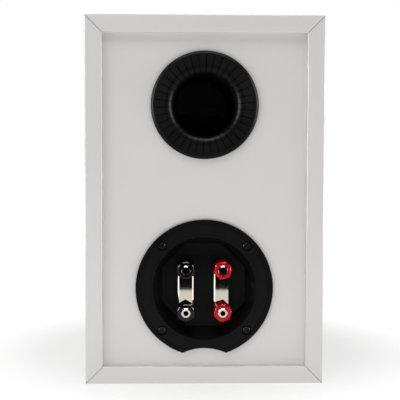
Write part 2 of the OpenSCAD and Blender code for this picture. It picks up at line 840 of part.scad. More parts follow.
module tweeter_voice_coil() {
    former = dome_r - 0.1;
    low = tweeter_motor_z - tweeter_plate_t - 0.5;
    color("orange") on_front(tweeter_z) {
        tube(former + tweeter_coil_t, former, low, dome_z - 0.7);
        tube(former + 2 * tweeter_coil_t + 0.1, former + tweeter_coil_t, low, tweeter_motor_z + 0.5);
    }
}

module tweeter_top_plate() {
    color("silver") on_front(tweeter_z)
        tube(tweeter_motor_r, dome_r + 2 * tweeter_gap, tweeter_motor_z - tweeter_plate_t, tweeter_motor_z);
}

module tweeter_magnet() {
    high = tweeter_motor_z - tweeter_plate_t;
    color("darkslategrey") on_front(tweeter_z)
        tube(tweeter_motor_r + 4, dome_r + 4, high - tweeter_magnet_t, high);
}

module tweeter_yoke() {
    low = tweeter_back + tweeter_yoke_t;
    color("silver") on_front(tweeter_z) {
        bore(tweeter_motor_r, tweeter_back, low);
        bore(dome_r - tweeter_gap, low, tweeter_motor_z + 0.4);
    }
}

module tweeter_screws() {
    color("black") on_front(tweeter_z) ring_of(tweeter_screws, tweeter_screw_circle, 45)
        sunk_screw(tweeter_screw_r, tweeter_head_r, tweeter_head_t, 1.3);
}

// A small board with two push-on tabs, flat against the back of the yoke.
module tweeter_terminal_strip() {
    color("peru") on_front(tweeter_z) {
        translate([-tweeter_strip_w / 2, -5, tweeter_back - strip_t]) cube([tweeter_strip_w, 10, strip_t]);
        for (x = [-tweeter_tab_x, tweeter_tab_x])
            translate([x - tab_w / 2, -tab_t / 2, tweeter_back - tab_len]) cube([tab_w, tab_t, tab_len]);
    }
}

// ---- crossover -----------------------------------------------------------------------------

module at_board_corners() {
    for (x = [-board_hole_x, board_hole_x], y = [-board_hole_y, board_hole_y]) {
        translate([x, board_y + y, 0]) children();
    }
}

module crossover_board() {
    color("darkgreen") difference() {
        translate([-board_w / 2, board_y - board_d / 2, board_z]) cube([board_w, board_d, board_t]);
        at_board_corners() bore(board_screw_r + 2 * seat, board_z - cut, board_top + cut);
    }
}

module crossover_spacers() {
    color("white") at_board_corners() tube(3.2, board_screw_r + 2 * seat, wall_t, board_z);
}

module crossover_screws() {
    color("silver") at_board_corners() translate([0, 0, board_top])
        cross_screw(board_head_r, 1.8, board_screw_r, board_t + spacer_h);
}

module crossover_coils() {
    color("orangered") for (c = coils) translate([c[0], board_y + c[1], board_top]) tube(c[2], c[3], 0, c[4]);
}

module crossover_capacitors() {
    color("royalblue") for (c = capacitors) {
        translate([c[0], board_y + c[1], board_top + c[2]]) rotate([0, 90, 0]) cylinder(h = c[3], r = c[2]);
    }
}

module crossover_resistors() {
    color("whitesmoke") for (y = resistor_rows) {
        translate([-resistor[0] / 2, board_y + y - resistor[1] / 2, board_top + resistor_lift])
            cube(resistor);
    }
}

// ---- wiring --------------------------------------------------------------------------------

// A round wire along a smooth curve through a few points, as one closed mesh.
module wire(points) {
    per_span = 4;
    sides = 8;
    n = len(points);
    function at(i) = points[max(0, min(n - 1, i))];
    function curve(i, t) = 0.5 * (2 * at(i) + (at(i + 1) - at(i - 1)) * t
        + (2 * at(i - 1) - 5 * at(i) + 4 * at(i + 1) - at(i + 2)) * t * t
        + (3 * at(i) - at(i - 1) - 3 * at(i + 1) + at(i + 2)) * t * t * t);
    path = concat([for (i = [0 : n - 2], k = [0 : per_span - 1]) curve(i, k / per_span)], [at(n - 1)]);
    m = len(path);
    function way(i) = let (d = path[min(m - 1, i + 1)] - path[max(0, i - 1)]) d / norm(d);
    side_ref = [0.36, 0.48, 0.8];
    function ring(i) = let (
        u0 = cross(way(i), side_ref),
        u = u0 / norm(u0),
        v = cross(way(i), u)
    ) [for (k = [0 : sides - 1]) path[i] + wire_r * (cos(360 * k / sides) * u + sin(360 * k / sides) * v)];
    rings = [for (i = [0 : m - 1]) each ring(i)];
    walls = [for (i = [0 : m - 2], k = [0 : sides - 1]) let (
        a = i * sides + k,
        b = i * sides + (k + 1) % sides
    ) [a, a + sides, b + sides, b]];
    first = [for (k = [0 : sides - 1]) k];
    last = [for (k = [sides - 1 : -1 : 0]) (m - 1) * sides + k];
    polyhedron(points = rings, faces = concat([first], walls, [last]), convexity = 6);
}

tag_y = back_face + under_z - post_nut_t - tag_t - wire_r - 0.1;

// Wires from one pair of posts to the board, then on to a driver, on one side of the middle.
module wires(side) {
    x = side * post_dx / 2;
    low_z = plate_z + low_post_y - tag_len + 2;
    high_z = plate_z + high_post_y - tag_len + 2;
    end_z = board_top + wire_r + wire_gap;
    // under a tab of the woofer's strip
    off = wire_r + wire_gap + tab_t / 2;
    tab_y = -strip_t - tab_len + 1.5;
    tab_z = -tab_drop + tab_t / 2 - off;
    woofer_end = [side * tab_x,
        baffle_face - strip_seat_z - tab_y * sin(strip_tilt) - tab_z * cos(strip_tilt),
        woofer_z - strip_seat_r + tab_y * cos(strip_tilt) - tab_z * sin(strip_tilt)];
    // under a tab of the tweeter's strip
    tweeter_end = [side * tweeter_tab_x, baffle_face - tweeter_back + tab_len - 2,
        tweeter_z - tab_t / 2 - wire_r - wire_gap];
    wire([[x, tag_y, low_z], [x, tag_y - 8, low_z - 6], [x + side * 8, 74, 32], [side * 30, 64, end_z]]);
    wire([[x, tag_y, high_z], [x, tag_y - 12, high_z - 8], [x + side * 22, 76, 44], [side * 40, 58, end_z]]);
    wire([[side * 46, 14, end_z], [side * 46, 8, 34], [side * 30, -30, 24], [side * 9, -76, 20], woofer_end]);
    wire([[side * 46, 34, end_z], [side * 48, 30, 50], [side * 54, 0, 110], [side * 50, -50, 165],
        [side * 24, -76, tweeter_z - 8], tweeter_end]);
}

module wires_red() { color("red") wires(-1); }
module wires_black() { color("dimgrey") wires(1); }

// ---- the assembly --------------------------------------------------------------------------

top_panel();
bottom_panel();
left_panel();
right_panel();
front_baffle();
back_panel();
damping_wadding();
port_flange();
port_tube();
port_inner_flare();
terminal_plate();
terminal_gasket();
terminal_screws();
stud_black_low();
stud_black_high();
stud_red_low();
stud_red_high();
cap_black_low();
cap_black_high();
cap_red_low();
cap_red_high();
washer_black_low();
washer_black_high();
washer_red_low();
washer_red_high();
post_collars_black();
post_collars_red();
post_nuts();
solder_tags();
link_black();
link_red();
woofer_basket();
woofer_gasket();
woofer_top_plate();
woofer_magnet();
woofer_yoke();
woofer_spider();
woofer_voice_coil();
woofer_cone();
woofer_dust_cap();
woofer_surround();
woofer_screws();
woofer_terminal_strip();
tweeter_faceplate();
tweeter_dome();
tweeter_surround();
tweeter_voice_coil();
tweeter_top_plate();
tweeter_magnet();
tweeter_yoke();
tweeter_screws();
tweeter_terminal_strip();
crossover_board();
crossover_coils();
crossover_capacitors();
crossover_resistors();
crossover_spacers();
crossover_screws();
wires_red();
wires_black();
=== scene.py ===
"""Finishes, soft pieces and a white studio for a two-way bookshelf speaker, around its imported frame.

The front faces -Y, the back with the port and the binding posts faces +Y, and +Z is up. All lengths are
in metres unless a name says otherwise.
"""
import json
import logging
import math
from dataclasses import dataclass, field
from enum import Enum

import bmesh
import bpy
from mathutils import Euler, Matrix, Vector, noise


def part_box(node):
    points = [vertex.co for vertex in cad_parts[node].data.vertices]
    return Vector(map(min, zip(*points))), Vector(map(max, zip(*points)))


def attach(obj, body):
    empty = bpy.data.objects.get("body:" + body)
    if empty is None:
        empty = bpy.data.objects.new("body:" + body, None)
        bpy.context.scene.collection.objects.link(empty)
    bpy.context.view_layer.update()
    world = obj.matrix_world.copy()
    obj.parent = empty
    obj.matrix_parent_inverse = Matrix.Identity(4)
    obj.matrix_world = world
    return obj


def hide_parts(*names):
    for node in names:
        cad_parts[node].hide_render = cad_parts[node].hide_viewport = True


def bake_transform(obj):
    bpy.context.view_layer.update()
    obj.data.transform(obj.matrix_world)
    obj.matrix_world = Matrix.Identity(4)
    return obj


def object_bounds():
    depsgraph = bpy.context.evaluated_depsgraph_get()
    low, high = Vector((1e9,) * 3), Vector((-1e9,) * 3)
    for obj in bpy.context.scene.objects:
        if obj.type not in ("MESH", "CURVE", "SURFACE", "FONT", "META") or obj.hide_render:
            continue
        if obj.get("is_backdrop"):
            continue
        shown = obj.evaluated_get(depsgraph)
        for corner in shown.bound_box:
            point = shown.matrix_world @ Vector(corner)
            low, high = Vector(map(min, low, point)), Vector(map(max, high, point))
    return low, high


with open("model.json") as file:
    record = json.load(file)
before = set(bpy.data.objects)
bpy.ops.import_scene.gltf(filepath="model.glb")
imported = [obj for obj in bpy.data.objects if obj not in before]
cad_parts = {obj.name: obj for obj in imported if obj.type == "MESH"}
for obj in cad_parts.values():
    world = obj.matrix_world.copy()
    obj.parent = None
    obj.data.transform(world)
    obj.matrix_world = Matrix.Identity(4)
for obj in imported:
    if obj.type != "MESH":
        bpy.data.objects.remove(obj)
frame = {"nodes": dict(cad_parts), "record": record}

log = logging.getLogger("speaker")
MM = 0.001

WHITE = "#ffffff"
# Painted shade: the colours that slits and bores turn to where walls close them in.
SLIT_PAINTED_SHADE = "#020202"
BORE_PAINTED_SHADE = "#0d0a08"
GLUE_LINE = "#3d3a38"
# Painted shade in slits and bores: the share of open space around a point where that painted shade is darkest,
# and where it is as light as the rest.
DEEP_SHARE, OPEN_SHARE = 0.35, 0.85
OCCLUSION_SAMPLES = 6
# No surface is smoother than this.
SMOOTHEST = 0.02
# Bands that the wave texture draws per unit of its scale.
WAVE_BANDS = 3.2

Material = bpy.types.Material
Node = bpy.types.Node
Piece = bpy.types.Object
Socket = bpy.types.NodeSocket
Tree = bpy.types.NodeTree


# ---- shared helpers --------------------------------------------------------------------------


def linear(colour: str) -> tuple[float, float, float, float]:
    """Turns an sRGB hex colour into linear light.

    Args:
        colour: six hex digits after a hash, such as "#d0d0ce".

    Returns:
        Linear red, green and blue, with an alpha of 1.
    """
    values = [int(colour[i : i + 2], 16) / 255 for i in (1, 3, 5)]
    light = [v / 12.92 if v <= 0.04045 else ((v + 0.055) / 1.055) ** 2.4 for v in values]
    return (*light, 1.0)


def per_metre(size_mm: float) -> float:
    """Texture scale at which one feature is size_mm millimetres across."""
    return 1.0 / (size_mm * MM)


def add_node(tree: Tree, kind: str, inputs: dict | None = None, **settings: object) -> Node:
    """Adds one node to a tree.

    Args:
        tree: the node tree that gets the node.
        kind: the node's type name.
        inputs: what each input holds, by name or number: a value, or another node's output socket.
        settings: the node's own properties.

    Returns:
        The new node.
    """
    node = tree.nodes.new(kind)
    for name, value in settings.items():
        setattr(node, name, value)
    for key, value in (inputs or {}).items():
        if isinstance(value, Socket):
            tree.links.new(value, node.inputs[key])
        else:
            node.inputs[key].default_value = value
    return node


def computed(tree: Tree, operation: str, *values: Socket | float) -> Socket:
    """Works out one sum.

    Args:
        tree: the node tree.
        operation: the math node's operation.
        values: what it works on, as values or other nodes' outputs.

    Returns:
        The result.
    """
    return add_node(tree, "ShaderNodeMath", dict(enumerate(values)), operation=operation).outputs["Value"]


def remapped(
    tree: Tree,
    value: Socket,
    source: tuple[float, float] = (0.0, 1.0),
    target: tuple[float, float] = (0.0, 1.0),
) -> Socket:
    """Moves a value from one range to another and keeps it inside.

    Args:
        tree: the node tree.
        value: the value.
        source: where its own range starts and ends.
        target: where the new range starts and ends.

    Returns:
        The new value.
    """
    return add_node(tree, "ShaderNodeMapRange", {
        "Value": value,
        "From Min": source[0],
        "From Max": source[1],
        "To Min": target[0],
        "To Max": target[1],
    }).outputs["Result"]


def mixed(tree: Tree, share: Socket, first: Socket | tuple, second: Socket | tuple) -> Socket:
    """Mixes two colours, each given as linear light or as another node's output.

    Args:
        tree: the node tree.
        share: share of the second colour, from 0 to 1.
        first: the first colour.
        second: the second colour.

    Returns:
        The mixed colour.
    """
    # a mix node has its colours at inputs 6 and 7, and the mixed colour at output 2
    return add_node(tree, "ShaderNodeMix", {0: share, 6: first, 7: second}, data_type="RGBA").outputs[2]


def blank_material(name: str) -> Material:
    """A new material with an empty node tree."""
    material = bpy.data.materials.new(name)
    material.use_nodes = True
    material.node_tree.nodes.clear()
    return material


def new_piece(
    name: str, points: list[Vector], faces: list[tuple[int, ...]], smooth: bool = True
) -> Piece:
    """Makes a mesh object from points and faces and links it to the scene.

    Args:
        name: the piece's name.
        points: corner positions in the row frame.
        faces: corner numbers of each face.
        smooth: whether the faces are shaded smooth.

    Returns:
        The new object.
    """
    mesh = bpy.data.meshes.new(name)
    mesh.from_pydata([tuple(p) for p in points], [], faces)
    mesh.validate()
    mesh.polygons.foreach_set("use_smooth", [smooth] * len(mesh.polygons))
    piece = bpy.data.objects.new(name, mesh)
    bpy.context.scene.collection.objects.link(piece)
    return piece


def turned_ring(name: str, outline: list[tuple[float, float]], centre: Vector, sides: int) -> Piece:
    """Turns a closed outline about an axis that points out of the speaker's front.

    Args:
        name: the piece's name.
        outline: (radius, height) pairs, where height counts towards the front.
        centre: the point on the axis from which height counts.
        sides: how many copies of the outline make the ring.

    Returns:
        The ring as a new object.
    """
    points, faces = [], []
    count = len(outline)
    for i in range(sides):
        angle = 2 * math.pi * i / sides
        for radius, height in outline:
            points.append(centre + Vector((radius * math.cos(angle), -height, radius * math.sin(angle))))
    for i in range(sides):
        here, following = i * count, (i + 1) % sides * count
        for j in range(count):
            k = (j + 1) % count
            faces.append((here + j, here + k, following + k, following + j))
    return new_piece(name, points, faces)


def middle(node: str) -> Vector:
    """Middle of a CAD node's box."""
    low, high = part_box(node)
    return (Vector(low) + Vector(high)) / 2


def outer_radius(node: str) -> float:
    """Half a round CAD node's width."""
    low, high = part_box(node)
    return (high[0] - low[0]) / 2


# ---- finishes --------------------------------------------------------------------------------


@dataclass(frozen=True)
class Finish:
    """A material as a maker would order it: what it is made of and how its surface was made."""

    name: str
    colour: str
    roughness: float
    metallic: float = 0.0
    ior: float = 1.5
    coat: float = 0.0
    sheen: float = 0.0
    specular: float = 0.5

    def build(self) -> Material:
        """Builds the Blender material.

        Returns:
            The material, with its pattern on the shader.
        """
        material = blank_material(self.name)
        tree = material.node_tree
        shader = add_node(tree, "ShaderNodeBsdfPrincipled", {
            "Base Color": linear(self.colour),
            "Roughness": self.roughness,
            "Metallic": self.metallic,
            "IOR": self.ior,
            "Specular IOR Level": self.specular,
            "Coat Weight": self.coat,
            "Sheen Weight": self.sheen,
        })
        add_node(tree, "ShaderNodeOutputMaterial", {"Surface": shader.outputs["BSDF"]})
        self.pattern(tree, shader)
        return material

    def pattern(self, tree: Tree, shader: Node) -> None:
        """Adds what makes the surface more than one flat colour."""

    def place(self, tree: Tree) -> Socket:
        """Position on the part in metres, so that a pattern keeps its real size."""
        return add_node(tree, "ShaderNodeTexCoord").outputs["Object"]

    def grain(self, tree: Tree, size_mm: float, detail: float = 2.0) -> Socket:
        """Even noise whose features are size_mm across.

        Args:
            tree: the material's node tree.
            size_mm: size of one feature.
            detail: how many finer layers it has.

        Returns:
            The noise, from 0 to 1.
        """
        return add_node(tree, "ShaderNodeTexNoise", {
            "Vector": self.place(tree),
            "Scale": per_metre(size_mm),
            "Detail": detail,
        }).outputs["Fac"]

    def relief(
        self, tree: Tree, shader: Node, height: Socket, depth_mm: float, strength: float
    ) -> None:
        """Gives the shader a bump.

        Args:
            tree: the material's node tree.
            shader: the node that gets the bump.
            height: the pattern's height, from 0 to 1.
            depth_mm: real depth of the pattern.
            strength: how much of the bump shows.
        """
        bump = add_node(tree, "ShaderNodeBump", {
            "Height": height,
            "Distance": depth_mm * MM,
            "Strength": strength,
        })
        tree.links.new(bump.outputs["Normal"], shader.inputs["Normal"])

    def tinted(self, tree: Tree, shader: Node, amount: Socket, other: str) -> None:
        """Mixes the base colour with another one.

        Args:
            tree: the material's node tree.
            shader: the node that gets the colour.
            amount: share of the other colour, from 0 to 1.
            other: the other colour as sRGB hex.
        """
        tint = mixed(tree, amount, linear(self.colour), linear(other))
        tree.links.new(tint, shader.inputs["Base Color"])

    def paint_hollow_shade(self, tree: Tree, shader: Node, reach_mm: float, dark: str) -> None:
        """Paints shade into the slits and bores, in colour and in gloss: the more the walls near a point close
        it in, the darker it gets.

        Args:
            tree: the material's node tree.
            shader: the node that gets the colour.
            reach_mm: how far away a wall still hides a point.
            dark: the colour of the painted shade deep inside, as sRGB hex.
        """
        # painted shade: colour and gloss darken where ambient occlusion finds walls close by
        free = add_node(tree, "ShaderNodeAmbientOcclusion", {
            "Distance": reach_mm * MM,
        }, samples=OCCLUSION_SAMPLES, only_local=True)
        open_share = remapped(tree, free.outputs["AO"], source=(DEEP_SHARE, OPEN_SHARE))
        colour = shader.inputs["Base Color"]
        clean = colour.links[0].from_socket if colour.is_linked else linear(self.colour)
        tree.links.new(mixed(tree, open_share, linear(dark), clean), colour)
        gloss = computed(tree, "MULTIPLY", open_share, self.specular)
        tree.links.new(gloss, shader.inputs["Specular IOR Level"])

    def uneven(self, tree: Tree, shader: Node, amount: Socket, spread: float) -> None:
        """Lets the roughness vary about its value.

        Args:
            tree: the material's node tree.
            shader: the node that gets the roughness.
            amount: where on the range a point is, from 0 to 1.
            spread: how far the roughness goes to either side.
        """
        limits = (max(self.roughness - spread, SMOOTHEST), min(self.roughness + spread, 1.0))
        tree.links.new(remapped(tree, amount, target=limits), shader.inputs["Roughness"])


@dataclass(frozen=True)
class VinylWrap(Finish):
    """PVC foil wrapped on fibreboard: a faint pebble grain that softens every reflection."""

    shade: str = "#cccac8"
    seam_mm: float = 0.45
    pebble_mm: float = 1.1
    cloud_mm: float = 60.0
    coat_roughness: float = 0.2

    def pattern(self, tree: Tree, shader: Node) -> None:
        """Pebbles in the skin, drawn coarser than the real 0.3 mm so that they show, and faint clouds."""
        pebbles = add_node(tree, "ShaderNodeTexVoronoi", {
            "Vector": self.place(tree),
            "Scale": per_metre(self.pebble_mm),
            "Smoothness": 0.6,
        }, feature="SMOOTH_F1").outputs["Distance"]
        self.relief(tree, shader, pebbles, depth_mm=0.05, strength=0.22)
        self.tinted(tree, shader, self.grain(tree, self.cloud_mm, detail=3.0), self.shade)
        self.uneven(tree, shader, self.grain(tree, size_mm=6.0), spread=0.05)
        shader.inputs["Coat Roughness"].default_value = self.coat_roughness
        self.seams(tree, shader)

    def seams(self, tree: Tree, shader: Node) -> None:
        """Draws the dark glue line where two walls meet at 45 degrees.

        It is wider than the real 0.1 mm, so that it shows.
        """
        low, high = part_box("left_panel")
        wall = high[0] - low[0]
        half_width = max(abs(low[0]), abs(high[0]))
        half_height = (high[2] - low[2]) / 2
        place = add_node(tree, "ShaderNodeSeparateXYZ", {"Vector": self.place(tree)}).outputs

        def inwards(axis: str, centre: float, half: float) -> Socket:
            """Distance from the cabinet's outer face along one axis."""
            away = computed(tree, "ABSOLUTE", computed(tree, "SUBTRACT", place[axis], centre))
            return computed(tree, "SUBTRACT", half, away)

        across = inwards("X", 0.0, half_width)
        down = inwards("Z", half_height, half_height)
        apart = computed(tree, "ABSOLUTE", computed(tree, "SUBTRACT", across, down))
        line = remapped(tree, apart, source=(self.seam_mm * MM, 0.0))
        share = computed(tree, "MULTIPLY", line, computed(tree, "LESS_THAN", across, wall))
        colour = shader.inputs["Base Color"]
        seamed = mixed(tree, share, colour.links[0].from_socket, linear(GLUE_LINE))
        tree.links.new(seamed, colour)


@dataclass(frozen=True)
class MouldedPlastic(Finish):
    """Injection-moulded ABS from a spark-eroded tool: matt, with a very fine even sparkle."""

    spark_mm: float = 0.5
    depth_mm: float = 0.02
    worn: str = "#1d1b1b"
    slit_shade_mm: float = 0.0

    def pattern(self, tree: Tree, shader: Node) -> None:
        """Spark texture, drawn coarser than its real 0.2 mm, and slow changes of gloss from the flow."""
        self.relief(tree, shader, self.grain(tree, self.spark_mm, detail=4.0), self.depth_mm, strength=0.5)
        self.uneven(tree, shader, self.grain(tree, size_mm=14.0, detail=3.0), spread=0.07)
        self.tinted(tree, shader, self.grain(tree, size_mm=25.0, detail=2.0), self.worn)
        # painted shade in the slits, such as the grooves of the port's flange
        if self.slit_shade_mm:
            self.paint_hollow_shade(tree, shader, self.slit_shade_mm, SLIT_PAINTED_SHADE)


@dataclass(frozen=True)
class PolishedPlastic(Finish):
    """Polycarbonate from a polished tool: deep colour, sharp glints and hair-thin handling marks."""

    deep: str = "#000000"
    subsurface: float = 0.0

    def pattern(self, tree: Tree, shader: Node) -> None:
        """Handling marks in the gloss and a little depth of colour."""
        shader.inputs["Subsurface Weight"].default_value = self.subsurface
        shader.inputs["Subsurface Scale"].default_value = 2 * MM
        self.uneven(tree, shader, self.grain(tree, size_mm=1.6, detail=5.0), spread=0.06)
        self.tinted(tree, shader, self.grain(tree, size_mm=5.0, detail=2.0), self.deep)
        self.relief(tree, shader, self.grain(tree, size_mm=1.2, detail=3.0), depth_mm=0.01, strength=0.35)


@dataclass(frozen=True)
class WorkedMetal(Finish):
    """A metal with the fine marks of how it was made, along one direction of the part."""

    mark_mm: float = 0.3
    stretch: tuple[float, float, float] = (1.0, 1.0, 1.0)
    spread: float = 0.05
    depth_mm: float = 0.004
    lean_deg: float = 0.0
    bore_shade_mm: float = 0.0

    def pattern(self, tree: Tree, shader: Node) -> None:
        """Marks drawn out along the axes with a small stretch, in gloss and in relief."""
        stretched = add_node(tree, "ShaderNodeMapping", {
            "Vector": self.place(tree),
            "Scale": self.stretch,
        }).outputs["Vector"]
        marks = add_node(tree, "ShaderNodeTexNoise", {
            "Vector": stretched,
            "Scale": per_metre(self.mark_mm),
            "Detail": 3.0,
        }).outputs["Fac"]
        self.uneven(tree, shader, marks, self.spread)
        self.relief(tree, shader, marks, self.depth_mm, strength=0.4)
        # painted shade deep in the bores
        if self.bore_shade_mm:
            self.paint_hollow_shade(tree, shader, self.bore_shade_mm, BORE_PAINTED_SHADE)
        if self.lean_deg:
            self.lean(tree, shader)

    def lean(self, tree: Tree, shader: Node) -> None:
        """Tips the mirrored view upwards, as a plate does that its two clamps have bowed."""
        normal = add_node(tree, "ShaderNodeNewGeometry").outputs["Normal"]
        tipped = add_node(tree, "ShaderNodeVectorMath", {
            0: normal,
            1: (0.0, 0.0, math.tan(math.radians(self.lean_deg))),
        }, operation="ADD").outputs["Vector"]
        even = add_node(tree, "ShaderNodeVectorMath", {0: tipped}, operation="NORMALIZE").outputs["Vector"]
        bump = next(node for node in tree.nodes if node.bl_idname == "ShaderNodeBump")
        tree.links.new(even, bump.inputs["Normal"])


@dataclass(frozen=True)
class CoatedMetal(Finish):
    """Metal under powder or phosphate: matt, with the coat's own orange-peel."""

    peel_mm: float = 0.8
    depth_mm: float = 0.03
    thin: str = "#2a2a2a"

    def pattern(self, tree: Tree, shader: Node) -> None:
        """Orange-peel relief, and a slightly lighter tone where the coat is thin."""
        peel = self.grain(tree, self.peel_mm, detail=2.0)
        self.relief(tree, shader, peel, self.depth_mm, strength=0.5)
        self.tinted(tree, shader, self.grain(tree, size_mm=9.0, detail=4.0), self.thin)
        self.uneven(tree, shader, peel, spread=0.08)


@dataclass(frozen=True)
class SoftSkin(Finish):
    """Rubber, foam or PVC sleeve: a skin with a dry, slightly dusty bloom."""

    pore_mm: float = 0.4
    depth_mm: float = 0.02
    bloom: str = "#262626"

    def pattern(self, tree: Tree, shader: Node) -> None:
        """Pores of the skin and a cloudy bloom on it."""
        self.relief(tree, shader, self.grain(tree, self.pore_mm, detail=2.0), self.depth_mm, strength=0.6)
        self.tinted(tree, shader, self.grain(tree, size_mm=7.0, detail=5.0), self.bloom)


@dataclass(frozen=True)
class PressedPulp(Finish):
    """Paper pulp pressed into a cone and coated: short fibres lie flat in every direction."""

    fibre_mm: float = 0.6
    fibre: str = "#34343a"
    curl: float = 0.02
    curl_mm: float = 6.0

    def pattern(self, tree: Tree, shader: Node) -> None:
        """Fibres as thin ridges where two noises meet."""
        place = self.place(tree)
        warp = add_node(tree, "ShaderNodeTexNoise", {
            "Vector": place,
            "Scale": per_metre(self.curl_mm),
        }).outputs["Color"]
        # a mix node has its vectors at inputs 4 and 5, and the mixed vector at output 1
        bent = add_node(tree, "ShaderNodeMix", {
            0: self.curl,
            4: place,
            5: warp,
        }, data_type="VECTOR").outputs[1]
        fibres = add_node(tree, "ShaderNodeTexVoronoi", {
            "Vector": bent,
            "Scale": per_metre(self.fibre_mm * 3),
        }, feature="DISTANCE_TO_EDGE").outputs["Distance"]
        thin = remapped(tree, fibres, source=(0.0, 0.12), target=(1.0, 0.0))
        self.relief(tree, shader, thin, depth_mm=0.05, strength=0.5)
        self.tinted(tree, shader, thin, self.fibre)


@dataclass(frozen=True)
class WovenCloth(Finish):
    """Open cotton weave stiffened with resin: two sets of threads, with shade painted into the holes between
    them.
    """

    thread_mm: float = 0.9
    hole: str = "#4a3414"

    def pattern(self, tree: Tree, shader: Node) -> None:
        """Two crossed waves, one thread apart."""
        waves = [
            add_node(tree, "ShaderNodeTexWave", {
                "Vector": self.place(tree),
                "Scale": per_metre(self.thread_mm) / WAVE_BANDS,
                "Distortion": 0.4,
            }, bands_direction=direction).outputs["Fac"]
            for direction in ("X", "Z")
        ]
        weave = computed(tree, "MULTIPLY", *waves)
        self.relief(tree, shader, weave, depth_mm=0.15, strength=0.7)
        # painted shade in the holes between the threads
        shaded_gaps = remapped(tree, weave, source=(0.0, 0.35), target=(0.8, 0.0))
        self.tinted(tree, shader, shaded_gaps, self.hole)


@dataclass(frozen=True)
class WoundWire(Finish):
    """Enamelled copper wire wound in even turns: fine bright bands, with shade painted in dark lines between
    them.
    """

    pitch_mm: float = 0.7
    along: str = "Z"
    between: str = "#4a1d0c"

    def pattern(self, tree: Tree, shader: Node) -> None:
        """One band for each turn."""
        turns = add_node(tree, "ShaderNodeTexWave", {
            "Vector": self.place(tree),
            "Scale": per_metre(self.pitch_mm) / WAVE_BANDS,
            "Distortion": 0.3,
            "Detail": 1.0,
        }, bands_direction=self.along).outputs["Fac"]
        self.relief(tree, shader, turns, depth_mm=0.2, strength=0.8)
        # painted shade in the lines between the turns
        shaded_gaps = remapped(tree, turns, source=(0.0, 0.3), target=(0.8, 0.0))
        self.tinted(tree, shader, shaded_gaps, self.between)


@dataclass(frozen=True)
class BondedFibre(Finish):
    """Polyester wadding: white fibres bonded into a soft felt with lighter and darker tufts."""

    tuft_mm: float = 5.0
    shadow: str = "#a9a9a2"

    def pattern(self, tree: Tree, shader: Node) -> None:
        """Tufts, with single fibres over them."""
        tufts = self.grain(tree, self.tuft_mm, detail=8.0)
        self.relief(tree, shader, tufts, depth_mm=1.2, strength=0.9)
        self.tinted(tree, shader, tufts, self.shadow)


@dataclass(frozen=True)
class SolderMask(Finish):
    """Glass-epoxy board under green mask: raised tracks and a faint glass weave."""

    track: str = "#2f6b3a"
    track_mm: float = 9.0
    track_share: float = 0.42

    def pattern(self, tree: Tree, shader: Node) -> None:
        """Broad tracks with straight edges, and the weave of the glass under the mask."""
        cells = add_node(tree, "ShaderNodeTexVoronoi", {
            "Vector": self.place(tree),
            "Scale": per_metre(self.track_mm),
        }, feature="F1", distance="CHEBYCHEV").outputs["Distance"]
        tracks = computed(tree, "LESS_THAN", cells, self.track_share)
        self.tinted(tree, shader, tracks, self.track)
        self.relief(tree, shader, tracks, depth_mm=0.07, strength=0.6)


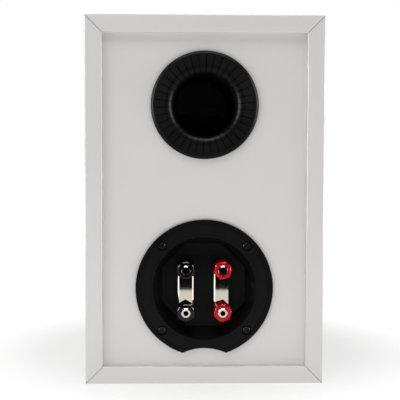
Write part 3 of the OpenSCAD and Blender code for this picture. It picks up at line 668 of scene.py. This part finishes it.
# The finish of each material slot. Colours are what the eye sees on the real surface in even white light.
FINISHES: dict[str, Finish] = {
    # foil-wrapped fibreboard: pale cool grey, satin
    "vinyl_grey": VinylWrap("vinyl_wrap_grey", "#d3d1cf", 0.42, coat=0.5),
    # black ABS: satin black that still shows soft highlights on its edges, with shade painted into its slits
    "black_plastic": MouldedPlastic(
        "moulded_abs_black", "#0b0a0a", 0.34, specular=0.07, worn="#131212", slit_shade_mm=1.0
    ),
    "grey_plastic": MouldedPlastic("moulded_abs_tube", "#080707", 0.45, specular=0.08, worn="#0c0b0b"),
    # polished polycarbonate knobs: near-black and clear deep red
    "black_gloss": PolishedPlastic("polished_polycarbonate_black", "#070707", 0.08, ior=1.58, specular=0.2),
    "red_gloss": PolishedPlastic(
        "polished_polycarbonate_red", "#c60c1c", 0.08, ior=1.58, specular=0.15, deep="#98070f", subsurface=0.15
    ),
    # bright nickel over brass: mirror-like with a warm tone, and shade painted deep in its bores
    "nickel": WorkedMetal(
        "plated_nickel", "#cfcabd", 0.06, 1.0, mark_mm=0.6, spread=0.02, depth_mm=0.001, bore_shade_mm=6.0
    ),
    # nickel-plated strip, stamped: mirror-like, and bowed a little where its ends are clamped
    "link_nickel": WorkedMetal(
        "plated_link_strip", "#c6c1b2", 0.025, 1.0,
        mark_mm=0.8, spread=0.005, depth_mm=0.0005, lean_deg=4.1,
    ),
    # brass stamped and tinned: dull yellow
    "brass_tag": WorkedMetal("tinned_brass", "#c9a869", 0.3, 1.0),
    # phosphated steel screws: dark grey metal with a dull shine
    "black_steel": CoatedMetal("phosphated_steel", "#0e0e0f", 0.3, 0.3, specular=0.2, thin="#141415"),
    # zinc-plated steel turned on a lathe: cool grey with fine rings
    "zinc_steel": WorkedMetal("turned_zinc_steel", "#b7babd", 0.33, 1.0, stretch=(1.0, 6.0, 1.0)),
    # sintered ferrite: matt charcoal
    "ferrite": CoatedMetal("sintered_ferrite", "#2b2b2e", 0.75, peel_mm=0.5, depth_mm=0.05, thin="#3a3a3d"),
    # butyl rubber: deep black with a soft sheen
    "rubber": SoftSkin("butyl_rubber", "#121212", 0.55, sheen=0.1),
    # closed-cell foam: dull black with pores
    "foam": SoftSkin("closed_cell_foam", "#1a1a1a", 0.9, pore_mm=0.7, depth_mm=0.1),
    # powder-coated die-cast basket
    "basket_cast": CoatedMetal("powder_coated_basket", "#171717", 0.48),
    # coated paper cone: blue-black with pale fibres
    "cone_paper": PressedPulp("coated_pulp_cone", "#1b1b1e", 0.5),
    # resin-dipped cotton spider: amber
    "spider_cloth": WovenCloth("resin_dipped_cotton", "#b98a3c", 0.8),
    # voice coils and crossover coils
    "copper_wire": WoundWire("enamelled_copper", "#b8582e", 0.28, 0.85),
    # anodised aluminium dome: bright satin
    "dome_metal": WorkedMetal("anodised_aluminium_dome", "#c6c8ca", 0.27, 1.0, mark_mm=0.5),
    # polyester wadding
    "wadding": BondedFibre("polyester_wadding", "#e8e8e2", 0.95, sheen=0.4),
    # crossover board
    "board": SolderMask("green_solder_mask", "#174a24", 0.35),
    # capacitors in blue epoxy
    "film_cap": PolishedPlastic("blue_epoxy_sleeve", "#1f4fa8", 0.22, deep="#173d86"),
    # resistors in cast cement
    "cement": CoatedMetal("cast_cement", "#d9d5c8", 0.85, peel_mm=0.6, depth_mm=0.08, thin="#c4bfb0"),
    # moulded nylon spacers
    "nylon": MouldedPlastic("moulded_nylon", "#e2e0d5", 0.45, worn="#d2cfc2"),
    # phenolic paper board
    "phenolic": MouldedPlastic("phenolic_board", "#6b3f22", 0.5, worn="#7d4d2c"),
    # PVC sleeves of the internal wires
    "wire_red": SoftSkin("pvc_sleeve_red", "#b3161c", 0.4, bloom="#c2272b"),
    "wire_black": SoftSkin("pvc_sleeve_black", "#151515", 0.4),
}


# Nodes whose finish is not that of their slot: the links are bowed nickel.
OWN_FINISHES = {"link_black": "link_nickel", "link_red": "link_nickel"}


@dataclass
class Dresser:
    """Builds each finish once and puts it on pieces."""

    made: dict[str, Material] = field(default_factory=dict)

    def material(self, slot: str) -> Material:
        """The material of a slot of the record.

        Args:
            slot: the slot's name.

        Returns:
            The material, built the first time that it is asked for.
        """
        if slot not in self.made:
            self.made[slot] = FINISHES[slot].build()
        return self.made[slot]

    def dress(self, piece: Piece, slot: str) -> None:
        """Gives a new piece the finish of a slot.

        Args:
            piece: the piece.
            slot: the slot's name.
        """
        piece.data.materials.clear()
        piece.data.materials.append(self.material(slot))
        log.info("%s: %s", piece.name, FINISHES[slot].name)

    def dress_nodes(self) -> None:
        """Gives every CAD node the finish of its slot."""
        slots = {s["node"]: s["material_slot"] for s in frame["record"]["subparts"]}
        slots.update(OWN_FINISHES)
        for name, node in frame["nodes"].items():
            if not node.material_slots:
                node.data.materials.append(None)
            for entry in node.material_slots:
                entry.material = self.material(slots[name])
            log.info("%s: %s", name, FINISHES[slots[name]].name)


# ---- soft pieces -----------------------------------------------------------------------------


@dataclass(frozen=True)
class HalfRoll:
    """The rubber half-roll around a driver's moving piece.

    Attributes:
        name: the ring's name.
        node: the CAD surround that it stands for.
        hub: the CAD piece that it holds.
        moving: the body that its inside goes with; not used.
        radius: the roll's outer radius.
        skin: thickness of the rubber.
        inset: how far its inner lip reaches over the hub.
        shift: how far the roll lies outwards of the middle of its gap.
        lip: width of its flat outer rim.
    """

    name: str
    node: str
    hub: str
    moving: str
    radius: float
    skin: float
    inset: float
    shift: float
    lip: float


WOOFER_ROLL = HalfRoll(
    "rubber_surround", "woofer_surround", "woofer_cone", "woofer_diaphragm",
    radius=5.0 * MM, skin=0.8 * MM, inset=1.5 * MM, shift=-0.6 * MM, lip=1.5 * MM,
)
TWEETER_ROLL = HalfRoll(
    "dome_surround", "tweeter_surround", "tweeter_dome", "tweeter_diaphragm",
    radius=1.2 * MM, skin=0.4 * MM, inset=0.6 * MM, shift=0.35 * MM, lip=0.3 * MM,
)


@dataclass
class Suspension:
    """The rings that let the drivers move: a rubber half-roll each, and the woofer's corrugated spider."""

    sides: int = 144
    cloth: float = 0.5 * MM
    waves: int = 5
    wave_height: float = 1.1 * MM
    wave_steps: int = 60
    arc_steps: int = 24
    glued_rim: float = 6.0 * MM
    coil_overlap: float = 0.3 * MM
    neck: float = 2.0 * MM
    fixed: str = "cabinet"

    def radial_blend(
        self, piece: Piece
    ) -> None:
        """Bakes the ring's placement into its mesh.

        Args:
            piece: the ring.
        """
        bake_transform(piece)

    def surround(self, roll: HalfRoll) -> Piece:
        """Makes a rubber half-roll.

        Args:
            roll: its place and its sizes.

        Returns:
            The ring, which stands for the CAD surround.
        """
        low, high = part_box(roll.node)
        outer = outer_radius(roll.node)
        inner = outer_radius(roll.hub) - roll.inset
        base = Vector((middle(roll.node).x, high[1], middle(roll.node).z))
        centre = (outer + inner) / 2 + roll.shift
        top = high[1] - low[1] - roll.radius
        shares = [i / self.arc_steps for i in range(self.arc_steps + 1)]
        over = [self.roll_point(centre, top, roll.radius, share) for share in shares]
        under = [self.roll_point(centre, 0.0, roll.radius - roll.skin, 1 - share) for share in shares]
        lips = [(inner + roll.lip / 2, top), (inner, top), (inner, 0.0), (inner + roll.lip / 2, 0.0)]
        rim = outer - roll.lip
        outline = [(outer, 0.0), (outer, top), (rim, top), *over, *lips, *under, (rim, 0.0)]
        ring = turned_ring(roll.name, outline, base, self.sides)
        self.radial_blend(ring)
        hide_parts(roll.node)
        return ring

    @staticmethod
    def roll_point(centre: float, base: float, radius: float, share: float) -> tuple[float, float]:
        """A point of the half-roll, from its outer foot at share 0 to its inner foot at share 1."""
        angle = math.pi * share
        return (centre + radius * math.cos(angle), base + radius * math.sin(angle))

    def spider(self) -> Piece:
        """The corrugated cloth disc.

        Returns:
            The ring, which stands for the CAD spider.
        """
        outer = outer_radius("woofer_spider")
        inner = outer_radius("woofer_voice_coil") - self.coil_overlap
        flat = outer - self.glued_rim
        centre = middle("woofer_spider") + Vector((0, -self.cloth / 2, 0))
        steps = self.wave_steps
        wave = [
            (
                inner + (flat - inner) * i / steps,
                self.wave_height * math.sin(2 * math.pi * self.waves * i / steps),
            )
            for i in range(steps + 1)
        ]
        back = [(radius, height - self.cloth) for radius, height in reversed(wave)]
        outline = [*wave, (outer, 0.0), (outer, -self.cloth), *back]
        ring = turned_ring("cotton_spider", outline, centre, self.sides)
        self.radial_blend(ring)
        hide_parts("woofer_spider")
        return ring

    def build(self, dresser: Dresser) -> None:
        """Makes the rings and dresses them."""
        for roll in (WOOFER_ROLL, TWEETER_ROLL):
            dresser.dress(self.surround(roll), "rubber")
        dresser.dress(self.spider(), "spider_cloth")


@dataclass
class Wadding:
    """Sheets of wadding glued to the side walls: quilted pads with soft, pulled-in edges."""

    node: str = "damping_wadding"
    cells: tuple[int, int] = (44, 52)
    thick: float = 9 * MM
    thinnest: float = 0.4 * MM
    puff: float = 2.2 * MM
    dimple: float = 48 * MM
    trim: float = 0.994
    edge_start: float = 0.25
    edge_rise: float = 12.0
    edge_power: float = 0.4
    tufts_per_metre: float = 90.0

    def sheet(self, side: int) -> Piece:
        """One sheet on one side wall.

        Args:
            side: -1 for the wall at -X and 1 for the wall at +X.

        Returns:
            The sheet as a new object.
        """
        low, high = (Vector(corner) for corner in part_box(self.node))
        wall = low.x if side < 0 else high.x
        across, up = self.cells
        points, faces = [], []
        for layer in (0, 1):
            for i in range(across + 1):
                for j in range(up + 1):
                    u, v = i / across, j / up
                    edge = min(1.0, self.edge_rise * min(u, 1 - u, v, 1 - v) + self.edge_start)
                    y = low.y + (high.y - low.y) * (0.5 + (u - 0.5) * self.trim)
                    z = low.z + (high.z - low.z) * (0.5 + (v - 0.5) * self.trim)
                    quilt = abs(math.sin(math.pi * y / self.dimple) * math.sin(math.pi * z / self.dimple))
                    rough = noise.noise(Vector((y, z, side)) * self.tufts_per_metre) * 0.35 + 0.5
                    pulled_in = self.puff * (1 - quilt) * (0.6 + rough * 0.4)
                    height = max(self.thick * edge ** self.edge_power - pulled_in, self.thinnest)
                    points.append(Vector((wall - side * height * layer, y, z)))
        row = up + 1
        lift = (across + 1) * row
        for i in range(across):
            for j in range(up):
                a, b, c, d = i * row + j, (i + 1) * row + j, (i + 1) * row + j + 1, i * row + j + 1
                faces += [(a, d, c, b), (a + lift, b + lift, c + lift, d + lift)]
        rim = (
            [i * row for i in range(across)]
            + [across * row + j for j in range(up)]
            + [i * row + up for i in range(across, 0, -1)]
            + [j for j in range(up, 0, -1)]
        )
        for here, following in zip(rim, rim[1:] + rim[:1]):
            faces.append((here, following, following + lift, here + lift))
        pad = new_piece(f"wadding_{'right' if side > 0 else 'left'}", points, faces)
        correct_normals(pad)
        return pad

    def build(self, dresser: Dresser) -> None:
        """Makes and dresses both sheets."""
        for side in (-1, 1):
            pad = self.sheet(side)
            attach(pad, "cabinet")
            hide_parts(self.node)
            dresser.dress(pad, "wadding")


def correct_normals(piece: Piece) -> None:
    """Turns all of a closed mesh's faces outwards."""
    mesh = bmesh.new()
    mesh.from_mesh(piece.data)
    bmesh.ops.recalc_face_normals(mesh, faces=mesh.faces)
    mesh.to_mesh(piece.data)
    mesh.free()


# ---- studio ----------------------------------------------------------------------------------


class SeenBy(Enum):
    """Which surfaces a stage piece or a lamp shows on."""

    EVERYTHING = "everything"
    REFLECTIONS = "reflections"
    MATT = "matt surfaces"


@dataclass(frozen=True)
class Softbox:
    """A rectangular studio lamp: where it hangs, what it faces, its size, its power and where it shows."""

    name: str
    place: tuple[float, float, float]
    aim: tuple[float, float, float]
    size: tuple[float, float]
    watts: float
    seen: SeenBy = SeenBy.EVERYTHING

    def hang(self) -> None:
        """Adds the lamp to the scene."""
        lamp = bpy.data.lights.new(self.name, "AREA")
        lamp.shape = "RECTANGLE"
        lamp.size, lamp.size_y = self.size
        lamp.energy = self.watts
        thing = bpy.data.objects.new(self.name, lamp)
        thing.location = self.place
        thing.rotation_euler = (Vector(self.aim) - Vector(self.place)).to_track_quat("-Z", "Y").to_euler()
        thing.visible_camera = False
        thing.visible_diffuse = self.seen is not SeenBy.REFLECTIONS
        thing.visible_glossy = self.seen is not SeenBy.MATT
        bpy.context.scene.collection.objects.link(thing)


@dataclass
class Studio:
    """A white table and sweep, lamps all round, and a dark room behind the camera.

    The sweep starts to glow at the first of sweep_reach and glows fully at the second. matt_level and
    mirrored_level say how much light the surroundings give to matt and to mirroring surfaces.
    """

    rear: float
    height: float
    camera_distance: float = 0.700
    camera_side: float = 0.0224
    camera_above_middle: float = 0.042
    camera_tilt: float = 86.64
    camera_roll: float = -0.15
    camera_pan: float = 178.47
    lens_mm: float = 84.0
    sensor_mm: float = 36.0
    table_half: float = 6.0
    table_reach: float = 0.445
    sweep_reach: tuple[float, float] = (0.13, 0.22)
    sweep_least: float = 0.55
    sweep_glow: float = 1.08
    room_sides: tuple[float, float] = (-0.20, 0.24)
    room_depth: float = 1.0
    room_lift: float = 0.001
    matt_level: float = 0.07
    mirrored_level: float = 0.005
    boxes: tuple[Softbox, ...] = (
        Softbox("softbox_left", (0.85, 0.80, 0.32), (0.0, 0.10, 0.14), (0.50, 0.90), 2.2),
        Softbox("softbox_right", (-0.95, 0.75, 0.35), (0.0, 0.10, 0.14), (0.40, 0.80), 1.0),
        Softbox("strip_left", (0.85, 0.42, 0.25), (0.0, 0.11, 0.12), (0.30, 0.80), 20.0, SeenBy.REFLECTIONS),
        Softbox("strip_right", (-0.85, 0.42, 0.25), (0.0, 0.11, 0.12), (0.30, 0.80), 20.0, SeenBy.REFLECTIONS),
        Softbox("strip_top", (0.0, 0.30, 0.95), (0.0, 0.11, 0.14), (0.80, 0.30), 9.0, SeenBy.REFLECTIONS),
        Softbox("low_fill", (0.0, 0.36, 0.03), (0.0, 0.12, 0.03), (0.50, 0.06), 0.19, SeenBy.MATT),
        Softbox("softbox_top", (0.08, 0.62, 1.05), (0.0, 0.12, 0.14), (0.90, 0.45), 4.4),
        Softbox("softbox_front", (0.10, -1.10, 0.80), (0.0, -0.10, 0.10), (1.20, 0.90), 6.4),
    )

    def camera(self) -> None:
        """Puts the camera behind the speaker, a little above its middle."""
        data = bpy.data.cameras.new("camera")
        data.lens = self.lens_mm
        data.sensor_width = self.sensor_mm
        thing = bpy.data.objects.new("camera", data)
        thing.location = (
            self.camera_side,
            self.rear + self.camera_distance,
            self.height / 2 + self.camera_above_middle,
        )
        thing.rotation_euler = Euler(map(math.radians, (self.camera_tilt, self.camera_roll, self.camera_pan)))
        bpy.context.scene.collection.objects.link(thing)
        bpy.context.scene.camera = thing

    def slab(
        self, name: str, low: tuple[float, float], high: tuple[float, float], z: float, seen: SeenBy
    ) -> Piece:
        """A level stage surface.

        Args:
            name: the piece's name.
            low: its lowest x and y.
            high: its highest x and y.
            z: its height.
            seen: which rays meet it.

        Returns:
            The new stage object.
        """
        corners = [(low[0], low[1]), (high[0], low[1]), (high[0], high[1]), (low[0], high[1])]
        slab = new_piece(name, [Vector((x, y, z)) for x, y in corners], [(0, 1, 2, 3)], smooth=False)
        if seen is SeenBy.REFLECTIONS:
            slab.visible_camera = False
            slab.visible_diffuse = False
            slab.visible_shadow = False
            slab.visible_transmission = False
        slab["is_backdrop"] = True
        return slab

    def table(self) -> None:
        """The white table, which turns into the bright sweep away from the speaker."""
        half = self.table_half
        slab = self.slab("white_table", (-half, -half), (half, half), 0.0, SeenBy.EVERYTHING)
        material = blank_material("white_laminate_sweep")
        tree = material.node_tree
        place = add_node(tree, "ShaderNodeTexCoord").outputs["Object"]
        away = add_node(tree, "ShaderNodeVectorMath", {0: place}, operation="LENGTH").outputs["Value"]
        share = remapped(tree, away, source=self.sweep_reach, target=(self.sweep_least, 1.0))
        paint = add_node(tree, "ShaderNodeBsdfPrincipled", {"Base Color": linear("#f4f4f3"), "Roughness": 0.35})
        glow = add_node(tree, "ShaderNodeEmission", {"Color": linear(WHITE), "Strength": self.sweep_glow})
        mix = add_node(tree, "ShaderNodeMixShader", {
            0: share,
            1: paint.outputs["BSDF"],
            2: glow.outputs["Emission"],
        })
        add_node(tree, "ShaderNodeOutputMaterial", {"Surface": mix.outputs["Shader"]})
        slab.data.materials.append(material)

    def dark_room(self) -> None:
        """Beyond the table's edge the room is dark, which polished metal mirrors."""
        edge = self.rear + self.table_reach
        left, right = self.room_sides
        far = edge + self.room_depth
        slab = self.slab("dark_room", (left, edge), (right, far), self.room_lift, SeenBy.REFLECTIONS)
        material = blank_material("unlit_room")
        tree = material.node_tree
        glow = add_node(tree, "ShaderNodeEmission", {"Color": linear("#1c1a1b"), "Strength": 1.0})
        add_node(tree, "ShaderNodeOutputMaterial", {"Surface": glow.outputs["Emission"]})
        slab.data.materials.append(material)

    def backdrop(self) -> None:
        """White where the camera looks past the speaker, dim for matt surfaces and dark for mirrored ones."""
        world = bpy.data.worlds.new("studio")
        bpy.context.scene.world = world
        world.use_nodes = True
        tree = world.node_tree
        tree.nodes.clear()
        ray = add_node(tree, "ShaderNodeLightPath").outputs
        level = remapped(tree, ray["Is Glossy Ray"], target=(self.matt_level, self.mirrored_level))
        dim = add_node(tree, "ShaderNodeBackground", {"Color": linear(WHITE), "Strength": level})
        white = add_node(tree, "ShaderNodeBackground", {"Color": linear(WHITE), "Strength": 1.0})
        mix = add_node(tree, "ShaderNodeMixShader", {
            0: ray["Is Camera Ray"],
            1: dim.outputs[0],
            2: white.outputs[0],
        })
        add_node(tree, "ShaderNodeOutputWorld", {"Surface": mix.outputs["Shader"]})

    def build(self) -> None:
        """Sets up the whole studio."""
        scene = bpy.context.scene
        scene.view_settings.view_transform = "Standard"
        scene.view_settings.look = "None"
        self.camera()
        self.table()
        self.dark_room()
        self.backdrop()
        for box in self.boxes:
            box.hang()


def main() -> None:
    """Dresses the CAD nodes, adds the soft pieces and builds the studio."""
    logging.basicConfig(level=logging.INFO, format="%(message)s")
    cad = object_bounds()
    dresser = Dresser()
    dresser.dress_nodes()
    Suspension().build(dresser)
    Wadding().build(dresser)
    Studio(rear=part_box("left_panel")[1][1], height=cad[1].z - cad[0].z).build()


if __name__ == "__main__":
    main()
